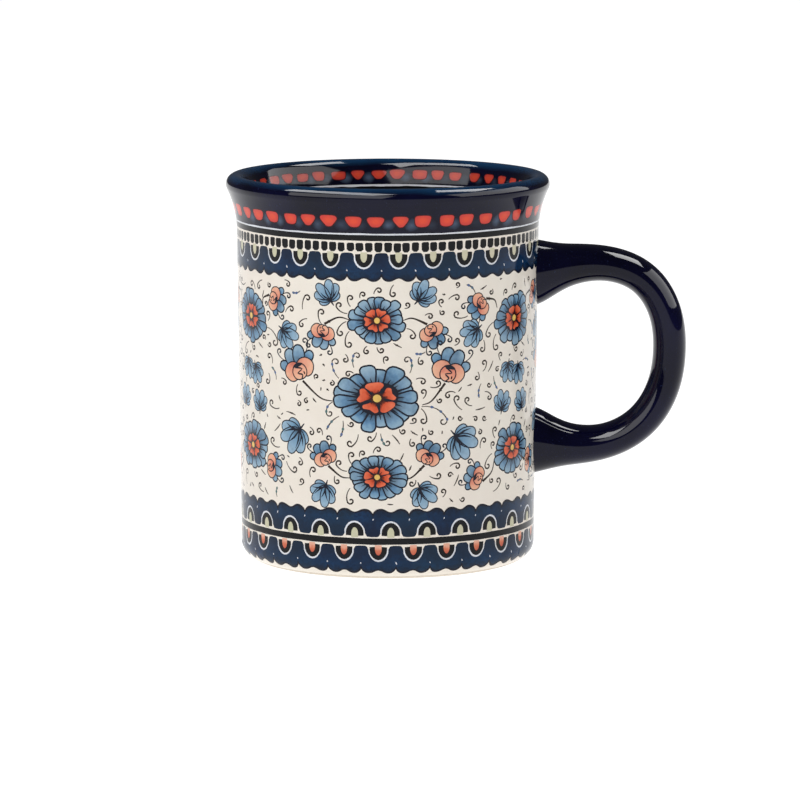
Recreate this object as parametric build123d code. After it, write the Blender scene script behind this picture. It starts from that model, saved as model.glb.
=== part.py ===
"""Stoneware mug: a turned clay body with a flared lip, a looped handle luted on with slip, and the glaze coats.

Frame: millimetres, +Z up. The origin is the centre of the foot on the surface the mug stands on,
and the handle points along +X.
"""
from build123d import *
import math
import os

# ---------------------------------------------------------------- driving dimensions (mm)
HEIGHT = 111.0             # foot to top of lip
LIP_RADIUS = 46.5          # widest radius, at the lip
WALL_RADIUS_TOP = 43.4     # outside radius where the flare starts
WALL_RADIUS_BOTTOM = 42.3  # outside radius above the rounded foot
WALL_THICKNESS = 4.0       # glazed wall, outside to inside
FLARE_HEIGHT = 16.0        # about how far below the crest of the lip the flare starts
FLARE_LEAN = 26.0          # degrees from upright at the top of the flare
LIP_THICKNESS = 5.6        # the lip is thicker than the wall, and round
FOOT_CURVE_HEIGHT = 5.0    # height of the rounding between wall and foot
FOOT_RADIUS = 38.2         # outer edge of the foot ring
FOOT_RING_WIDTH = 4.4      # width of the flat that the mug stands on
RECESS_DEPTH = 2.0         # hollow under the floor, inside the foot ring
RECESS_SLOPE = 1.2         # how far the hollow's side leans inwards
FLOOR_TOP = 7.6            # height of the floor inside the cup
FLOOR_FILLET = 6.0         # radius between floor and inside wall
GLAZE = 0.3                # thickness of every glaze coat
GLAZE_LINE = 1.0           # bare clay below this height on the foot ring

COBALT_LINE_OUTSIDE = 98.6  # lower edge of the cobalt band on the outside
COBALT_LINE_INSIDE = 103.8  # lower edge of the cobalt band on the inside

# Handle: centreline points (x, z) from the upper joint round to the lower one.
HANDLE_CENTRELINE = [
    (36.0, 82.0), (50.0, 84.3), (62.5, 85.0), (73.2, 80.9), (79.6, 71.6), (81.2, 60.2),
    (79.2, 48.6), (72.8, 38.8), (62.4, 33.3), (50.0, 32.6), (36.0, 34.2),
]
HANDLE_DEPTH = 9.5         # thickness in the plane of the loop, at its middle
HANDLE_WIDTH = 13.4        # width across the loop, at its middle
ROOT_DEPTH = 19.6          # the same two sizes where the handle meets the wall
ROOT_WIDTH = 17.6
ROOT_FADE = 7.2            # distance over which the swelling at a root falls to a third
HANDLE_SECTIONS = 25       # cross-sections that the handle is lofted through
SLIP_DEPTH = 2.6           # thickness of the luting slip between wall and handle

PAST_AXIS = 5.0            # how far a half-section runs past the axis before it is trimmed
FAR = 200.0                # larger than the mug
BELOW = 1.0                # how far below the foot a trimming rectangle starts


# ---------------------------------------------------------------- half-sections of the cup, x = radius, y = height
TAPER = math.atan2(WALL_RADIUS_TOP - WALL_RADIUS_BOTTOM, HEIGHT - FLARE_HEIGHT - FOOT_CURVE_HEIGHT)
LEAN = math.radians(FLARE_LEAN)
ACROSS_WALL = Vector(math.cos(TAPER), -math.sin(TAPER))       # out of the wall
ACROSS_FLARE = Vector(math.cos(LEAN), -math.sin(LEAN))        # out of the top of the flare
LIP_ROUND = LIP_THICKNESS / 2
LIP_CENTRE = Vector(LIP_RADIUS - LIP_ROUND, HEIGHT - LIP_ROUND)
FLARE_TOP = LIP_CENTRE + ACROSS_FLARE * LIP_ROUND
FLARE_RADIUS = (FLARE_TOP.X - WALL_RADIUS_TOP) / (math.cos(TAPER) - math.cos(LEAN))
FLARE_CENTRE = FLARE_TOP + ACROSS_FLARE * FLARE_RADIUS
INNER_TOP = LIP_CENTRE - ACROSS_FLARE * LIP_ROUND
INNER_RADIUS = (INNER_TOP.X - WALL_RADIUS_TOP + WALL_THICKNESS) / (math.cos(TAPER) - math.cos(LEAN))
INNER_CENTRE = INNER_TOP + ACROSS_FLARE * INNER_RADIUS
WALL_FOOT = Vector(WALL_RADIUS_BOTTOM, FOOT_CURVE_HEIGHT)
FOOT_EDGE = Vector(FOOT_RADIUS, 0)
FOOT_CURVE = (WALL_FOOT - FOOT_EDGE).length ** 2 / (2 * (WALL_FOOT - FOOT_EDGE).dot(ACROSS_WALL))
FOOT_CENTRE = WALL_FOOT - ACROSS_WALL * FOOT_CURVE
RING_INNER = FOOT_RADIUS - FOOT_RING_WIDTH
MID_WALL = WALL_RADIUS_BOTTOM - WALL_THICKNESS / 2
MID_FLOOR = (FLOOR_TOP + RECESS_DEPTH) / 2


def rectangle(r0, z0, r1, z1):
    """A rectangle between two corners of the half-section plane."""
    return Pos((r0 + r1) / 2, (z0 + z1) / 2) * Rectangle(r1 - r0, z1 - z0)


def flare_arc(centre, distance):
    """A flare's arc at some distance from its centre, from the wall up to the lip."""
    middle = (TAPER + LEAN) / 2
    across_middle = Vector(math.cos(middle), -math.sin(middle))
    ends = [centre - across * distance for across in (ACROSS_WALL, across_middle, ACROSS_FLARE)]
    return ThreePointArc(*ends)


def lip_arc(inset, side):
    """A quarter of the lip's rounding, from the flare to its tip, on side 1 (outside) or -1, moved in by inset."""
    up = Vector(math.sin(LEAN), math.cos(LEAN))
    ends = [ACROSS_FLARE * side, (ACROSS_FLARE * side + up).normalized(), up]
    return ThreePointArc(*[LIP_CENTRE + end * (LIP_ROUND - inset) for end in ends])


def outside_edges(inset):
    """The outside of the cup from the foot to the lip's crest, moved into the clay by inset."""
    foot_direction = (FOOT_EDGE - FOOT_CENTRE).normalized()
    middle_direction = (foot_direction + ACROSS_WALL).normalized()
    directions = (foot_direction, middle_direction, ACROSS_WALL)
    foot_arc = ThreePointArc(*[FOOT_CENTRE + way * (FOOT_CURVE - inset) for way in directions])
    flare = flare_arc(FLARE_CENTRE, FLARE_RADIUS + inset)
    return [foot_arc, Line(foot_arc @ 1, flare @ 0), flare, lip_arc(inset, 1)]


def cup_section(inset):
    """The cup's half-section with every glazed side moved into the clay by inset. It runs past the axis."""
    outside = outside_edges(inset)
    lip = lip_arc(inset, -1)
    flare = flare_arc(INNER_CENTRE, INNER_RADIUS - inset)
    wall_foot = WALL_FOOT - ACROSS_WALL * (WALL_THICKNESS - inset)
    floor_z = FLOOR_TOP - inset
    wall_slope = ((flare @ 0) - wall_foot).normalized()
    floor_corner = wall_foot + wall_slope * ((floor_z - wall_foot.Y) / wall_slope.Y)
    points = [
        floor_corner,
        Vector(-PAST_AXIS, floor_z),
        Vector(-PAST_AXIS, RECESS_DEPTH + inset),
        Vector(RING_INNER - RECESS_SLOPE + inset, RECESS_DEPTH + inset),
        Vector(RING_INNER + inset, (outside[0] @ 0).Y),
        outside[0] @ 0,
    ]
    inside = [lip, flare, Line(flare @ 0, floor_corner)]
    closing = [Line(a, b) for a, b in zip(points, points[1:])]
    section = make_face(Curve() + outside + inside + closing)
    corner = section.vertices().sort_by_distance((floor_corner.X, floor_corner.Y))[0]
    return fillet(corner, FLOOR_FILLET + inset)


def turned(section):
    """A half-section trimmed at the axis and revolved round it."""
    half = section & rectangle(0, -PAST_AXIS, FAR, FAR)
    return revolve(Plane.XZ * half, Axis.Z)


def cup_parts():
    """The clay body and its four glaze coats, each a turned solid."""
    glazed = cup_section(0)
    bare_foot = glazed & rectangle(RING_INNER - RECESS_SLOPE, -BELOW, FAR, GLAZE_LINE)
    clay = cup_section(GLAZE) + bare_foot
    coat = glazed - clay
    outside = rectangle(RING_INNER + FOOT_RING_WIDTH / 2, GLAZE_LINE, FAR, COBALT_LINE_OUTSIDE)
    outside -= rectangle(0, FOOT_CURVE_HEIGHT, MID_WALL, FAR)
    outer_flare = Pos(FLARE_CENTRE.X, FLARE_CENTRE.Y) * Circle(FLARE_RADIUS + WALL_THICKNESS / 2)
    rim = rectangle(0, COBALT_LINE_OUTSIDE, FAR, FAR) & outer_flare
    rim += rectangle(0, COBALT_LINE_INSIDE, FAR, FAR)
    inside = rectangle(-FAR, MID_FLOOR, FAR, COBALT_LINE_INSIDE) - outside - rim
    underneath = rectangle(-FAR, -BELOW, RING_INNER + FOOT_RING_WIDTH / 2, MID_FLOOR)
    return {
        "clay_body": turned(clay),
        "outside_glaze": turned(coat & outside),
        "rim_cobalt_glaze": turned(coat & rim),
        "inside_glaze": turned(coat & inside),
        "underside_glaze": turned(coat & underneath),
    }


def filled_cup(inset):
    """The cup's outside, moved into the clay by inset, filled to the axis as a cutting tool."""
    edges = outside_edges(inset)
    bottom = edges[0] @ 0
    crest = edges[-1] @ 1
    axis_top = Vector(0, crest.Y)
    axis_bottom = Vector(0, bottom.Y)
    closing = [Line(crest, axis_top), Line(axis_top, axis_bottom), Line(axis_bottom, bottom)]
    return revolve(Plane.XZ * make_face(Curve() + edges + closing), Axis.Z)


# ---------------------------------------------------------------- handle
def handle_loft(shrink):
    """The whole handle from inside one wall to inside the other, its sections shrunk by a coat's thickness."""
    path = Spline(*[Vector(x, 0, z) for x, z in HANDLE_CENTRELINE])
    wall_distance = WALL_RADIUS_TOP - HANDLE_CENTRELINE[0][0]
    sections = []
    for i in range(HANDLE_SECTIONS):
        u = i / (HANDLE_SECTIONS - 1)
        from_wall = max(0.0, min(u, 1 - u) * path.length - wall_distance)
        swell = math.exp(-from_wall / ROOT_FADE)
        depth = HANDLE_DEPTH + (ROOT_DEPTH - HANDLE_DEPTH) * swell - 2 * shrink
        width = HANDLE_WIDTH + (ROOT_WIDTH - HANDLE_WIDTH) * swell - 2 * shrink
        across = Plane(origin=path @ u, x_dir=(0, 1, 0), z_dir=path % u)
        sections.append(across * Ellipse(width / 2, depth / 2))
    return loft(sections)


def handle_parts():
    """The handle, its two slip joints and its cobalt coat."""
    cup_outside = filled_cup(0)
    clay_outside = filled_cup(GLAZE)
    slip_reach = filled_cup(-SLIP_DEPTH)
    core = handle_loft(GLAZE)
    slip = (core & slip_reach) - clay_outside
    upper, lower = sorted(slip.solids(), key=lambda s: s.center().Z, reverse=True)
    return {
        "handle": core - slip_reach,
        "upper_slip_joint": upper,
        "lower_slip_joint": lower,
        "handle_cobalt_glaze": handle_loft(0) - core - cup_outside,
    }, core


def main():
    os.makedirs("parts", exist_ok=True)
    parts = cup_parts()
    handle, core = handle_parts()
    parts["outside_glaze"] -= core
    parts.update(handle)
    for node, solid in parts.items():
        export_step(solid, f"parts/{node}.step")


main()
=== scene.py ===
"""Hand-painted stoneware mug: its painting, glazes, clay and a plain studio around it.

The painting is drawn flat, as outlines on the unrolled wall, and then inlaid in the skin of the glaze:
every stroke is its own faces, so it stays sharp from any distance. Lengths are in mm until a mesh is made.
"""
import math
import random

import bpy
import numpy as np
from bpy.props import FloatProperty, FloatVectorProperty, IntProperty, PointerProperty
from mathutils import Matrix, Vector
from mathutils.geometry import delaunay_2d_cdt


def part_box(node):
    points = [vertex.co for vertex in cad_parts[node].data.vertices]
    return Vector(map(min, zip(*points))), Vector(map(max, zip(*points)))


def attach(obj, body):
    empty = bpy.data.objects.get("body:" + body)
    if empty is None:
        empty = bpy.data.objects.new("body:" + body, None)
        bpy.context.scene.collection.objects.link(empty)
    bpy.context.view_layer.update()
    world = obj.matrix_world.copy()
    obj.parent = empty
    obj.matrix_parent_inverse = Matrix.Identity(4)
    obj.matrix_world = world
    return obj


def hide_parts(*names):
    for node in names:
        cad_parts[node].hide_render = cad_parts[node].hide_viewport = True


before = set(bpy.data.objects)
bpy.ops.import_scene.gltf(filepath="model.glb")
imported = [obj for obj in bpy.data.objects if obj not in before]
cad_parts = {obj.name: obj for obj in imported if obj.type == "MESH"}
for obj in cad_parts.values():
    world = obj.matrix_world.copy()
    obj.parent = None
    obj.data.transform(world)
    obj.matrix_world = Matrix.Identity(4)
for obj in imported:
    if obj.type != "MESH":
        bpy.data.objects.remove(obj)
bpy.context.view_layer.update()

bl_info = {
    "name": "Painted Stoneware Mug",
    "version": (1, 0, 0),
    "blender": (4, 5, 0),
    "location": "View3D > Sidebar > Mug",
    "description": "Paints and glazes a turned stoneware mug on its packed frame",
    "category": "Object",
}

MM = 0.001
TURN = 2 * math.pi

# ---------------------------------------------------------------- the cup's outline, as it is turned (mm)
LIP_RADIUS = round(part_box("rim_cobalt_glaze")[1].y / MM, 2)
HEIGHT = round(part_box("rim_cobalt_glaze")[1].z / MM, 1)
COBALT_LINE = round(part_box("rim_cobalt_glaze")[0].z / MM, 2)
INSIDE_LINE = round(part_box("inside_glaze")[1].z / MM, 2)
GLAZE_LINE = round(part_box("outside_glaze")[0].z / MM, 2)
GLAZE = 0.3
CLEAR_GLOSS = 0.18         # how strongly each glaze mirrors its surroundings
COBALT_GLOSS = 0.22
WALL_THICKNESS = 4.0
LIP_THICKNESS = 5.6        # the lip is thicker than the wall, and round
WALL_RADIUS_TOP = 43.4
WALL_RADIUS_BOTTOM = 42.3
FLARE_HEIGHT = 16.0
FLARE_LEAN = math.radians(26)
FOOT_CURVE_HEIGHT = 5.0
FOOT_RADIUS = 38.2

TAPER = math.atan2(WALL_RADIUS_TOP - WALL_RADIUS_BOTTOM, HEIGHT - FLARE_HEIGHT - FOOT_CURVE_HEIGHT)
ACROSS_WALL = np.array([math.cos(TAPER), -math.sin(TAPER)])
ACROSS_FLARE = np.array([math.cos(FLARE_LEAN), -math.sin(FLARE_LEAN)])
LIP_ROUND = LIP_THICKNESS / 2
LIP_CENTRE = np.array([LIP_RADIUS - LIP_ROUND, HEIGHT - LIP_ROUND])
FLARE_TOP = LIP_CENTRE + ACROSS_FLARE * LIP_ROUND
FLARE_RADIUS = (FLARE_TOP[0] - WALL_RADIUS_TOP) / (math.cos(TAPER) - math.cos(FLARE_LEAN))
FLARE_CENTRE = FLARE_TOP + ACROSS_FLARE * FLARE_RADIUS
INNER_TOP = LIP_CENTRE - ACROSS_FLARE * LIP_ROUND
INNER_RADIUS = (INNER_TOP[0] - WALL_RADIUS_TOP + WALL_THICKNESS) / (math.cos(TAPER) - math.cos(FLARE_LEAN))
INNER_CENTRE = INNER_TOP + ACROSS_FLARE * INNER_RADIUS
FLARE_START = FLARE_CENTRE[1] + math.sin(TAPER) * FLARE_RADIUS
WALL_FOOT = np.array([WALL_RADIUS_BOTTOM, FOOT_CURVE_HEIGHT])
FOOT_STEP = WALL_FOOT - np.array([FOOT_RADIUS, 0.0])
FOOT_CURVE = FOOT_STEP @ FOOT_STEP / (2 * FOOT_STEP @ ACROSS_WALL)
FOOT_CENTRE = WALL_FOOT - ACROSS_WALL * FOOT_CURVE

UNROLLED_RADIUS = 42.9     # radius at which the painting is laid out flat
AROUND = TURN * UNROLLED_RADIUS
SEAM = 90.0                # degrees from the front to the handle, which hides the painting's seam
COLUMNS = list(np.linspace(0, AROUND, 121))  # where the points of the curved skin stand round the cup
NEAR = 0.002               # points closer than this become one


def wall_outline(height):
    """A point (radius, height) on the outside of the cup below the cobalt, and the outward direction."""
    if height < FOOT_CURVE_HEIGHT:
        rise = (height - FOOT_CENTRE[1]) / FOOT_CURVE
        out = np.array([math.sqrt(1 - rise ** 2), rise])
        return FOOT_CENTRE + out * FOOT_CURVE, out
    if height <= FLARE_START:
        radius = WALL_RADIUS_BOTTOM + (height - FOOT_CURVE_HEIGHT) * math.tan(TAPER)
        return np.array([radius, height]), ACROSS_WALL
    rise = (height - FLARE_CENTRE[1]) / FLARE_RADIUS
    out = np.array([math.sqrt(1 - rise ** 2), -rise])
    return np.array([FLARE_CENTRE[0] - FLARE_RADIUS * out[0], height]), out


def flare_angle(height, centre, radius):
    """How far up a flare's arc a height is, as an angle from level."""
    return math.asin((height - centre[1]) / radius)


OUTER_START = flare_angle(COBALT_LINE, FLARE_CENTRE, FLARE_RADIUS)
OUTER_ARC = (FLARE_LEAN - OUTER_START) * FLARE_RADIUS
LIP_ARC = math.pi * LIP_ROUND
INNER_END = flare_angle(INSIDE_LINE, INNER_CENTRE, INNER_RADIUS)
INNER_ARC = (FLARE_LEAN - INNER_END) * INNER_RADIUS
RIM_LENGTH = OUTER_ARC + LIP_ARC + INNER_ARC


def rim_outline(along):
    """The same on the cobalt rim, by the distance from its outer lower edge over the lip and down inside."""
    if along <= OUTER_ARC:
        angle = OUTER_START + along / FLARE_RADIUS
        out = np.array([math.cos(angle), -math.sin(angle)])
        return FLARE_CENTRE - out * FLARE_RADIUS, out
    if along <= OUTER_ARC + LIP_ARC:
        angle = (along - OUTER_ARC) / LIP_ROUND - FLARE_LEAN
        out = np.array([math.cos(angle), math.sin(angle)])
        return LIP_CENTRE + out * LIP_ROUND, out
    angle = FLARE_LEAN - (along - OUTER_ARC - LIP_ARC) / INNER_RADIUS
    out = np.array([-math.cos(angle), math.sin(angle)])
    return INNER_CENTRE + out * INNER_RADIUS, out


def rim_outside(height):
    """The distance along the rim's outline of a height on its outside."""
    return (flare_angle(height, FLARE_CENTRE, FLARE_RADIUS) - OUTER_START) * FLARE_RADIUS


def rim_inside(height):
    """The distance along the rim's outline of a height on its inside."""
    return OUTER_ARC + LIP_ARC + (FLARE_LEAN - flare_angle(height, INNER_CENTRE, INNER_RADIUS)) * INNER_RADIUS


# ---------------------------------------------------------------- drawing on the unrolled wall
def smooth(points, steps=4, closed=False):
    """A smooth line through some points, or a smooth loop through them."""
    p = np.asarray(points, float)
    if closed:
        p = np.vstack([p[-1], p, p[0], p[1]])
    else:
        p = np.vstack([2 * p[0] - p[1], p, 2 * p[-1] - p[-2]])
    t = (np.arange(steps) / steps)[:, None]
    spans = [
        0.5 * (2 * b + (c - a) * t + (2 * a - 5 * b + 4 * c - d) * t ** 2 + (3 * b - 3 * c + d - a) * t ** 3)
        for a, b, c, d in zip(p, p[1:], p[2:], p[3:])
    ]
    line = np.vstack(spans)
    return line if closed else np.vstack([line, p[-2]])


def normals_of(line, closed):
    """Unit directions to the left of a line at each of its points."""
    if closed:
        way = np.roll(line, -1, 0) - np.roll(line, 1, 0)
    else:
        way = np.gradient(line, axis=0)
    way /= np.maximum(np.hypot(*way.T), 1e-9)[:, None]
    return np.stack([-way[:, 1], way[:, 0]], 1)


def grown(loop, distance):
    """A loop moved outwards all round."""
    x, y = loop.T
    area = np.sum(x * np.roll(y, -1) - y * np.roll(x, -1))
    return loop - normals_of(loop, True) * distance * np.sign(area)


def turned(points, origin, heading):
    """Points in a motif's own frame, first axis along its heading, placed on the wall."""
    c, s = math.cos(heading), math.sin(heading)
    p = np.asarray(points, float)
    return np.asarray(origin) + p @ np.array([[c, s], [-s, c]])


def winding(loop, points):
    """Which points a loop goes round."""
    turns = np.zeros(len(points), int)
    x, y = points.T
    for (x0, y0), (x1, y1) in zip(loop, np.roll(loop, -1, 0)):
        side = (x1 - x0) * (y - y0) - (x - x0) * (y1 - y0)
        turns += (y0 <= y) & (y1 > y) & (side > 0)
        turns -= (y0 > y) & (y1 <= y) & (side < 0)
    return turns != 0


class Painting:
    """Brush marks in painter's order: each a paint, a loop, the mark's own frame and a random tone."""

    FREE_STEP = 0.35       # grid on which free ground is kept

    def __init__(self, seed):
        self.marks = []
        self.hand = random.Random(seed)
        self.taken = np.zeros((int(AROUND / self.FREE_STEP) + 1, int(HEIGHT / self.FREE_STEP) + 1), bool)

    def area(self, paint, loop, origin=None, along=(1.0, 0.0), reach=1.0, width=1.0):
        """Fills a loop. Its frame says how far along and across the mark a spot is."""
        loop = np.asarray(loop, float)
        origin = loop.mean(0) if origin is None else np.asarray(origin, float)
        along = np.asarray(along, float)
        across = np.array([-along[1], along[0]])
        self.marks.append((paint, loop, origin, along / reach, across / width, self.hand.random()))

    def outlined(self, paint, loop, line, line_paint="ink", **frame_of_mark):
        """Fills a loop and draws round it."""
        self.area(line_paint, grown(loop, line))
        self.area(paint, loop, **frame_of_mark)

    def stroke(self, paint, line, widths):
        """A brush stroke along a line, with widths given at even steps from its start to its end."""
        line = np.asarray(line, float)
        t = np.linspace(0, 1, len(line))
        half = np.interp(t, np.linspace(0, 1, len(widths)), widths)[:, None] / 2
        side = normals_of(line, False) * half
        self.area(paint, np.vstack([line + side, (line - side)[::-1]]))

    def dab(self, paint, centre, length, width, heading=0.0, corners=8):
        """A small oval dab."""
        a = np.arange(corners) * TURN / corners
        oval = np.stack([np.cos(a) * length / 2, np.sin(a) * width / 2], 1)
        way = (math.cos(heading), math.sin(heading))
        self.area(paint, turned(oval, centre, heading), centre, way, length / 2, width / 2)

    def cells(self, points):
        """The grid cells of some points, wrapped round the cup."""
        i = np.floor(np.mod(points[:, 0], AROUND) / self.FREE_STEP).astype(int)
        j = np.clip(np.floor(points[:, 1] / self.FREE_STEP).astype(int), 0, self.taken.shape[1] - 1)
        return i, j

    def claim(self, start, margin):
        """Takes the ground under every mark from number start on, and a margin round it."""
        steps = np.arange(-margin, margin + 1e-6, self.FREE_STEP)
        ring = np.array([(a, b) for a in steps for b in steps if math.hypot(a, b) <= margin])
        for _, loop, *_ in self.marks[start:]:
            ends = np.roll(loop, -1, 0)
            edge = np.vstack([loop + (ends - loop) * f for f in (0, 0.33, 0.66)])
            low, high = loop.min(0), loop.max(0)
            xs = np.arange(low[0], high[0], self.FREE_STEP)
            ys = np.arange(low[1], high[1], self.FREE_STEP)
            spots = np.array([(x, y) for x in xs for y in ys]).reshape(-1, 2)
            inner = spots[winding(loop, spots)] if len(spots) else spots
            for way in ring:
                self.taken[self.cells(edge + way)] = True
            self.taken[self.cells(inner)] = True

    def is_free(self, points):
        """Whether no mark has taken the ground under some points."""
        return not self.taken[self.cells(np.asarray(points))].any()


def place(bearing, height):
    """A spot on the unrolled wall, by degrees round from the front and by height."""
    return np.array([math.radians(bearing - SEAM) * UNROLLED_RADIUS, height])


LEAD_STEPS = 6             # straightish steps of a curl before its eye
EYE_STEPS = 8              # steps round the eye
LARGE = 20.0               # a flower wider than this has a large one's heart and sprays


def curl_line(start, heading, length, bend):
    """A line that sets off along a heading, bends to one side and winds itself into an open eye."""
    side = math.copysign(0.74, bend)
    way = heading + np.cumsum([bend * 0.15] * LEAD_STEPS + [side] * EYE_STEPS)
    radius = 0.42 + 0.075 * min(length, 7.0)
    eye = [radius * 0.74 * (1.3 - 0.145 * k) for k in range(EYE_STEPS)]
    reach = np.array([length / LEAD_STEPS] * LEAD_STEPS + eye)
    moves = np.stack([np.cos(way), np.sin(way)], 1) * reach[:, None]
    return np.vstack([start, np.asarray(start) + np.cumsum(moves, 0)])


def curl(painting, start, heading, length, bend, paint="sepia", weight=0.5):
    """A curl as a fine brush leaves it: thin at the start, full round the eye."""
    line = curl_line(start, heading, length, bend)
    painting.stroke(paint, line, [weight * share for share in (0.5, 0.62, 0.9, 1.0, 0.95, 0.9)])


def tendril(painting, start, heading, length, bend, eye=True):
    """A long bending twig with a few beads of blue and green on it, and an eye or a bead at its end."""
    line = curl_line(start, heading, length, bend)
    if not eye:
        line = line[:LEAD_STEPS + 1]
    painting.stroke("sepia", line, [0.22, 0.3, 0.36, 0.44, 0.4])
    for at in (2, 4, 6) if length > 6 else (3, 5):
        painting.dab("teal", line[at], 1.05, 0.78, heading + bend * 0.15 * at, 7)


def spur(painting, start, heading, length, bend):
    """A tendril without an eye."""
    tendril(painting, start, heading, length, bend, eye=False)


def tick(painting, start, heading, length, bend):
    """A short dash, often with a knot in it."""
    line = curl_line(start, heading, length, bend * 0.5)[:LEAD_STEPS]
    painting.stroke("sepia", line, [0.2, 0.42, 0.36, 0.2])
    if painting.hand.random() < 0.5:
        painting.dab("sepia", line[2], 0.8, 0.36, heading + 1.2, 6)


def petal_loop(centre, size, angle, half_angle, inner, outer, notch=0.0):
    """A petal of an oval flower, from its root to its round or notched tip."""
    outline = [
        (0.0, -0.45), (0.42, -0.86), (0.8, -0.98), (0.98, -0.6), (1.0 - notch, 0.0),
        (0.98, 0.6), (0.8, 0.98), (0.42, 0.86), (0.0, 0.45),
    ]
    points = []
    for along, across in outline:
        radius = inner + (outer - inner) * along
        spread = angle + across * half_angle
        points.append((radius * math.cos(spread) * size[0], radius * math.sin(spread) * size[1]))
    return np.asarray(centre) + smooth(points, 2, closed=True)


def on_oval(size, angle, share=1.0):
    """A point on an oval about the origin, or at some share of the way out to it."""
    return np.array([share * math.cos(angle) * size[0], share * math.sin(angle) * size[1]])


def outer_petals(painting, centre, size, count):
    """A ring of blue petals over an ink hollow, each with a dark spine at its root."""
    hand = painting.hand
    width = size[0] * 2
    order = list(range(count))
    hand.shuffle(order)
    hollow = [on_oval(size, angle, 0.7) for angle in np.arange(12) * TURN / 12]
    painting.area("ink", centre + smooth(hollow, 2, closed=True))
    for i in order:
        angle = TURN * (i + hand.uniform(-0.18, 0.18)) / count
        outer = hand.choice((0.98, 0.95, 0.88, 0.82))
        half = TURN / count * hand.uniform(0.46, 0.64)
        loop = petal_loop(centre, size, angle, half, 0.36, outer)
        way = on_oval(size, angle)
        reach = np.hypot(*way)
        painting.outlined(
            "petal", loop, 0.26 + width * 0.0095, origin=centre + way * 0.4, along=way / reach,
            reach=reach * (outer - 0.4), width=reach * half * 0.8)
        spine = [centre + way * 0.45, centre + way * hand.uniform(0.58, 0.7)]
        painting.stroke("ink", smooth(spine, 2), [width * 0.022, width * 0.014, 0.08])


def flower_heart(painting, centre, size):
    """Coral petals on an ink disc, with maroon rays between them and a yellow eye."""
    hand = painting.hand
    width, height = size[0] * 2, size[1] * 2
    wobble = [0.49 * hand.uniform(0.93, 1.07) for _ in range(12)]
    disc = [on_oval(size, angle, share) for share, angle in zip(wobble, np.arange(12) * TURN / 12)]
    painting.area("ink", centre + smooth(disc, 2, closed=True))
    count = 5 if width > LARGE else 6
    turn = hand.uniform(0, 1)
    for i in range(count):
        angle = TURN * (i + turn + hand.uniform(-0.06, 0.06)) / count
        half = TURN / count * 0.44
        way = on_oval(size, angle)
        reach = np.hypot(*way)
        tip, notch = hand.uniform(0.43, 0.48), hand.choice((0.04, 0.24))
        loop = petal_loop(centre, size, angle, half, 0.15, tip, notch)
        painting.area("coral", loop, centre + way * 0.15, way / reach, reach * 0.31, reach * half * 0.4)
    for i in range(count * 2):
        ray = on_oval(size, TURN * (i + turn) / (count * 2))
        end = centre + ray * hand.uniform(0.2, 0.28)
        painting.stroke("maroon", smooth([centre, end], 2), [width * 0.03, 0.15])
    painting.dab("maroon", centre, width * 0.15, height * 0.17, 0.0, 12)
    painting.dab("yellow", centre, width * 0.095, height * 0.115, 0.0, 12)


def flower(painting, centre, width, height, petals):
    """A flower with a double ring of petals round a yellow eye."""
    size = (width / 2, height / 2)
    outer_petals(painting, centre, size, petals)
    flower_heart(painting, centre, size)


OVAL = (                   # an oval petal from its root to its tip, one unit long and one across
    (0.0, 0.0), (0.1, -0.3), (0.42, -0.5), (0.78, -0.44), (0.97, -0.2),
    (0.97, 0.2), (0.78, 0.44), (0.42, 0.5), (0.1, 0.3),
)


def oval(painting, paint, line, root, heading, length, width):
    """An outlined oval petal that grows from a root."""
    loop = turned(smooth([(a * length, b * width) for a, b in OVAL], 2, closed=True), root, heading)
    way = (math.cos(heading), math.sin(heading))
    painting.outlined(paint, loop, line, origin=root, along=way, reach=length, width=width / 2)


BUD_BLUE = (               # spread in radians, length and width of each blue petal, in parts of the bud
    (-1.02, 0.42, 0.24), (1.02, 0.42, 0.24), (0.27, 0.52, 0.34), (-0.27, 0.53, 0.34),
)
BUD_PINK = (               # the same for the pink lobes, which grow the other way
    (-1.0, 0.5, 0.46), (1.0, 0.5, 0.46), (0.0, 0.4, 0.42),
)


def bud(painting, mouth, heading, size, stem_to):
    """A bud: pink lobes on a stem, and blue petals out of their mouth along the heading."""
    hand = painting.hand
    line = 0.25 + size * 0.018

    def at(along, across):
        return turned([(along * size, across * size)], mouth, heading)[0]

    foot = at(-0.4, 0.0)
    bow = (foot + stem_to) / 2 + (at(-0.8, 0.0) - foot) * 0.45
    stem = smooth([foot, bow, stem_to], 6)
    painting.stroke("sepia", stem, [0.75, 0.5, 0.4, 0.24])
    painting.dab("sepia", stem[2], 1.2, 0.5, heading + 1.0, 6)
    for side in (-1, 1):
        curl(painting, at(0.3, 0.4 * side), heading + side * 1.0, size * 0.3, -side * 0.9, "ink", 0.48)
    for spread, length, width in BUD_BLUE:
        root = at(0.0, 0.22 * math.sin(spread))
        oval(painting, "petal", line, root, heading + spread, length * size, width * size)
    for spread, length, width in BUD_PINK:
        root = at(0.06, 0.0)
        oval(painting, "pink", line * 0.8, root, heading + math.pi + spread, length * size, width * size)
    painting.dab("ink", at(0.03, 0.0), size * 0.1, size * 0.34, heading)
    scar = [at(0.0, 0.1), at(-0.1, -0.1), at(-0.17, 0.07), at(-0.25, -0.06), at(-0.36, 0.02)]
    painting.stroke("ink", smooth(scar, 3), [size * 0.05, size * 0.03, size * 0.045, size * 0.03])
    painting.dab("maroon", at(-0.22, 0.13 * hand.choice((-1, 1))), size * 0.1, size * 0.05, heading, 6)


LEAF_LOBES = (             # spread in radians, length and width of each lobe, in parts of the leaf
    (-1.4, 0.54, 0.4), (1.4, 0.54, 0.4), (-0.88, 0.8, 0.44), (0.88, 0.8, 0.44), (-0.36, 0.92, 0.42),
    (0.34, 0.94, 0.42),
)


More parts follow.
